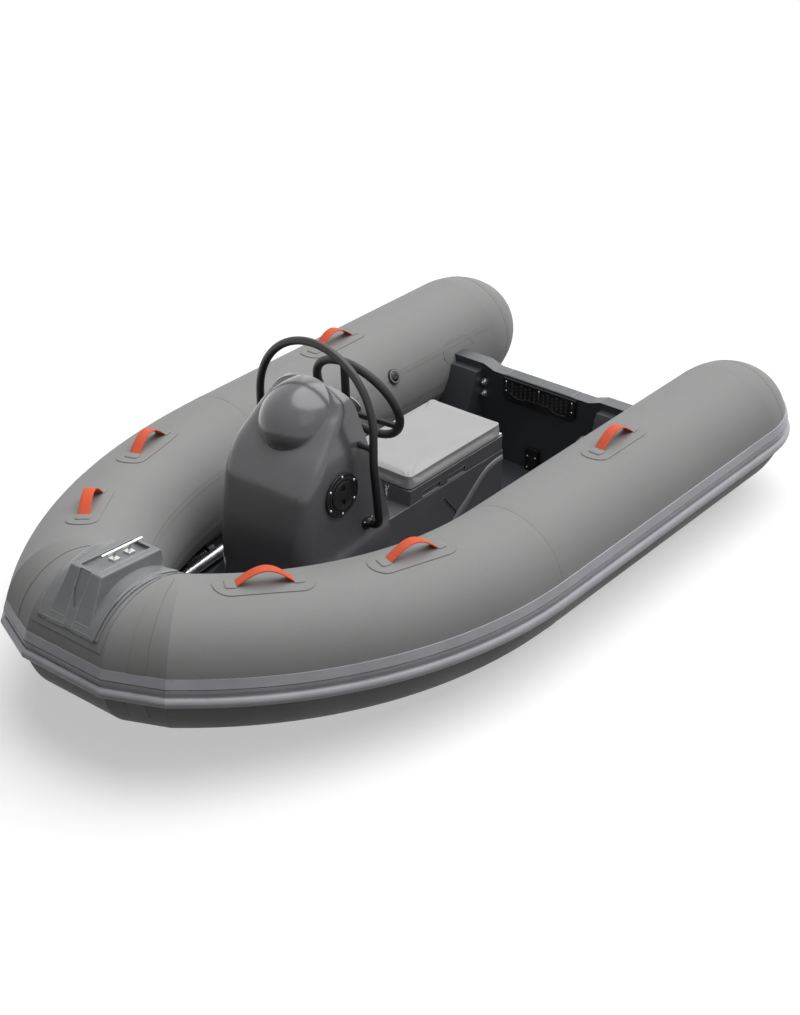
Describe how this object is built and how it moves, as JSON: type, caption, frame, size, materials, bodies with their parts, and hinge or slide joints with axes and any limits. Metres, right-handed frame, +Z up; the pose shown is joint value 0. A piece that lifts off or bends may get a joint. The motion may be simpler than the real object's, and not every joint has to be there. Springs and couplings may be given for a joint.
{
  "type": "inflatable rib boat",
  "caption": "Small rigid inflatable tender with a V hull, grey tubes, ribbed rub strake, centre console with wheel and rail, and a locker seat.",
  "frame": {"origin": "on the waterline, on the centreline, amidships between the cone tips and the nose", "axes": "+X to the bow, +Y to port, +Z up"},
  "size_m": [2.756, 1.602, 1.0624],
  "materials": {
    "hull_gelcoat": "gloss gelcoat",
    "deck_gelcoat": "satin gelcoat",
    "console_gelcoat": "gloss gelcoat",
    "tube_fabric": "matte coated fabric",
    "patch_fabric": "matte coated fabric",
    "strake_rubber": "satin rubber",
    "webbing": "woven webbing",
    "step_plastic": "satin moulded plastic",
    "black_plastic": "textured",
    "black_tube": "satin black coating",
    "wheel_rubber": "soft grip",
    "cushion_vinyl": "smooth vinyl",
    "stainless": "polished",
    "oar_alloy": "satin alloy"
  },
  "bodies": {
    "boat": {"hull": "hull_gelcoat", "deck": "deck_gelcoat", "transom": "deck_gelcoat", "motor_pad_inner": "black_plastic", "motor_pad_outer": "black_plastic", "drain_cover": "black_plastic", "stern_eye_port": "stainless", "stern_eye_starboard": "stainless", "bow_eye": "stainless", "tube_port": "tube_fabric", "tube_starboard": "tube_fabric", "tube_bow": "tube_fabric", "end_cone_port": "tube_fabric", "end_cone_starboard": "tube_fabric", "rub_strake_port": "strake_rubber", "rub_strake_starboard": "strake_rubber", "rub_strake_bow": "strake_rubber", "handle_patches_port": "patch_fabric", "handle_patches_starboard": "patch_fabric", "bow_patch": "patch_fabric", "valves": "black_plastic", "bow_step": "step_plastic", "bow_cleat": "stainless", "console": "console_gelcoat", "console_rail": "black_tube", "hatch_ring": "black_plastic", "hatch_lid": "black_plastic", "helm": "black_plastic", "seat_box": "console_gelcoat", "seat_hinge": "stainless", "oar_port": "oar_alloy", "oar_starboard": "oar_alloy", "handle_forward_port": "webbing", "handle_forward_starboard": "webbing", "handle_middle_port": "webbing", "handle_middle_starboard": "webbing", "handle_aft_port": "webbing", "handle_aft_starboard": "webbing"},
    "wheel": {"steering_wheel": "wheel_rubber"},
    "seat_top": {"seat_lid": "console_gelcoat", "seat_cushion": "cushion_vinyl", "seat_latch": "stainless"}
  },
  "joints": [
    {"name": "wheel_turn", "type": "hinge", "parent": "boat", "child": "wheel", "pos_m": [0.088, 0, 0.639], "axis": [-0.9143, 0, 0.4051], "range_deg": [-630, 630]},
    {"name": "seat_lid_hinge", "type": "hinge", "parent": "boat", "child": "seat_top", "pos_m": [-0.4733, 0, 0.2775], "axis": [0, -1, 0], "range_deg": [0, 95]}
  ]
}
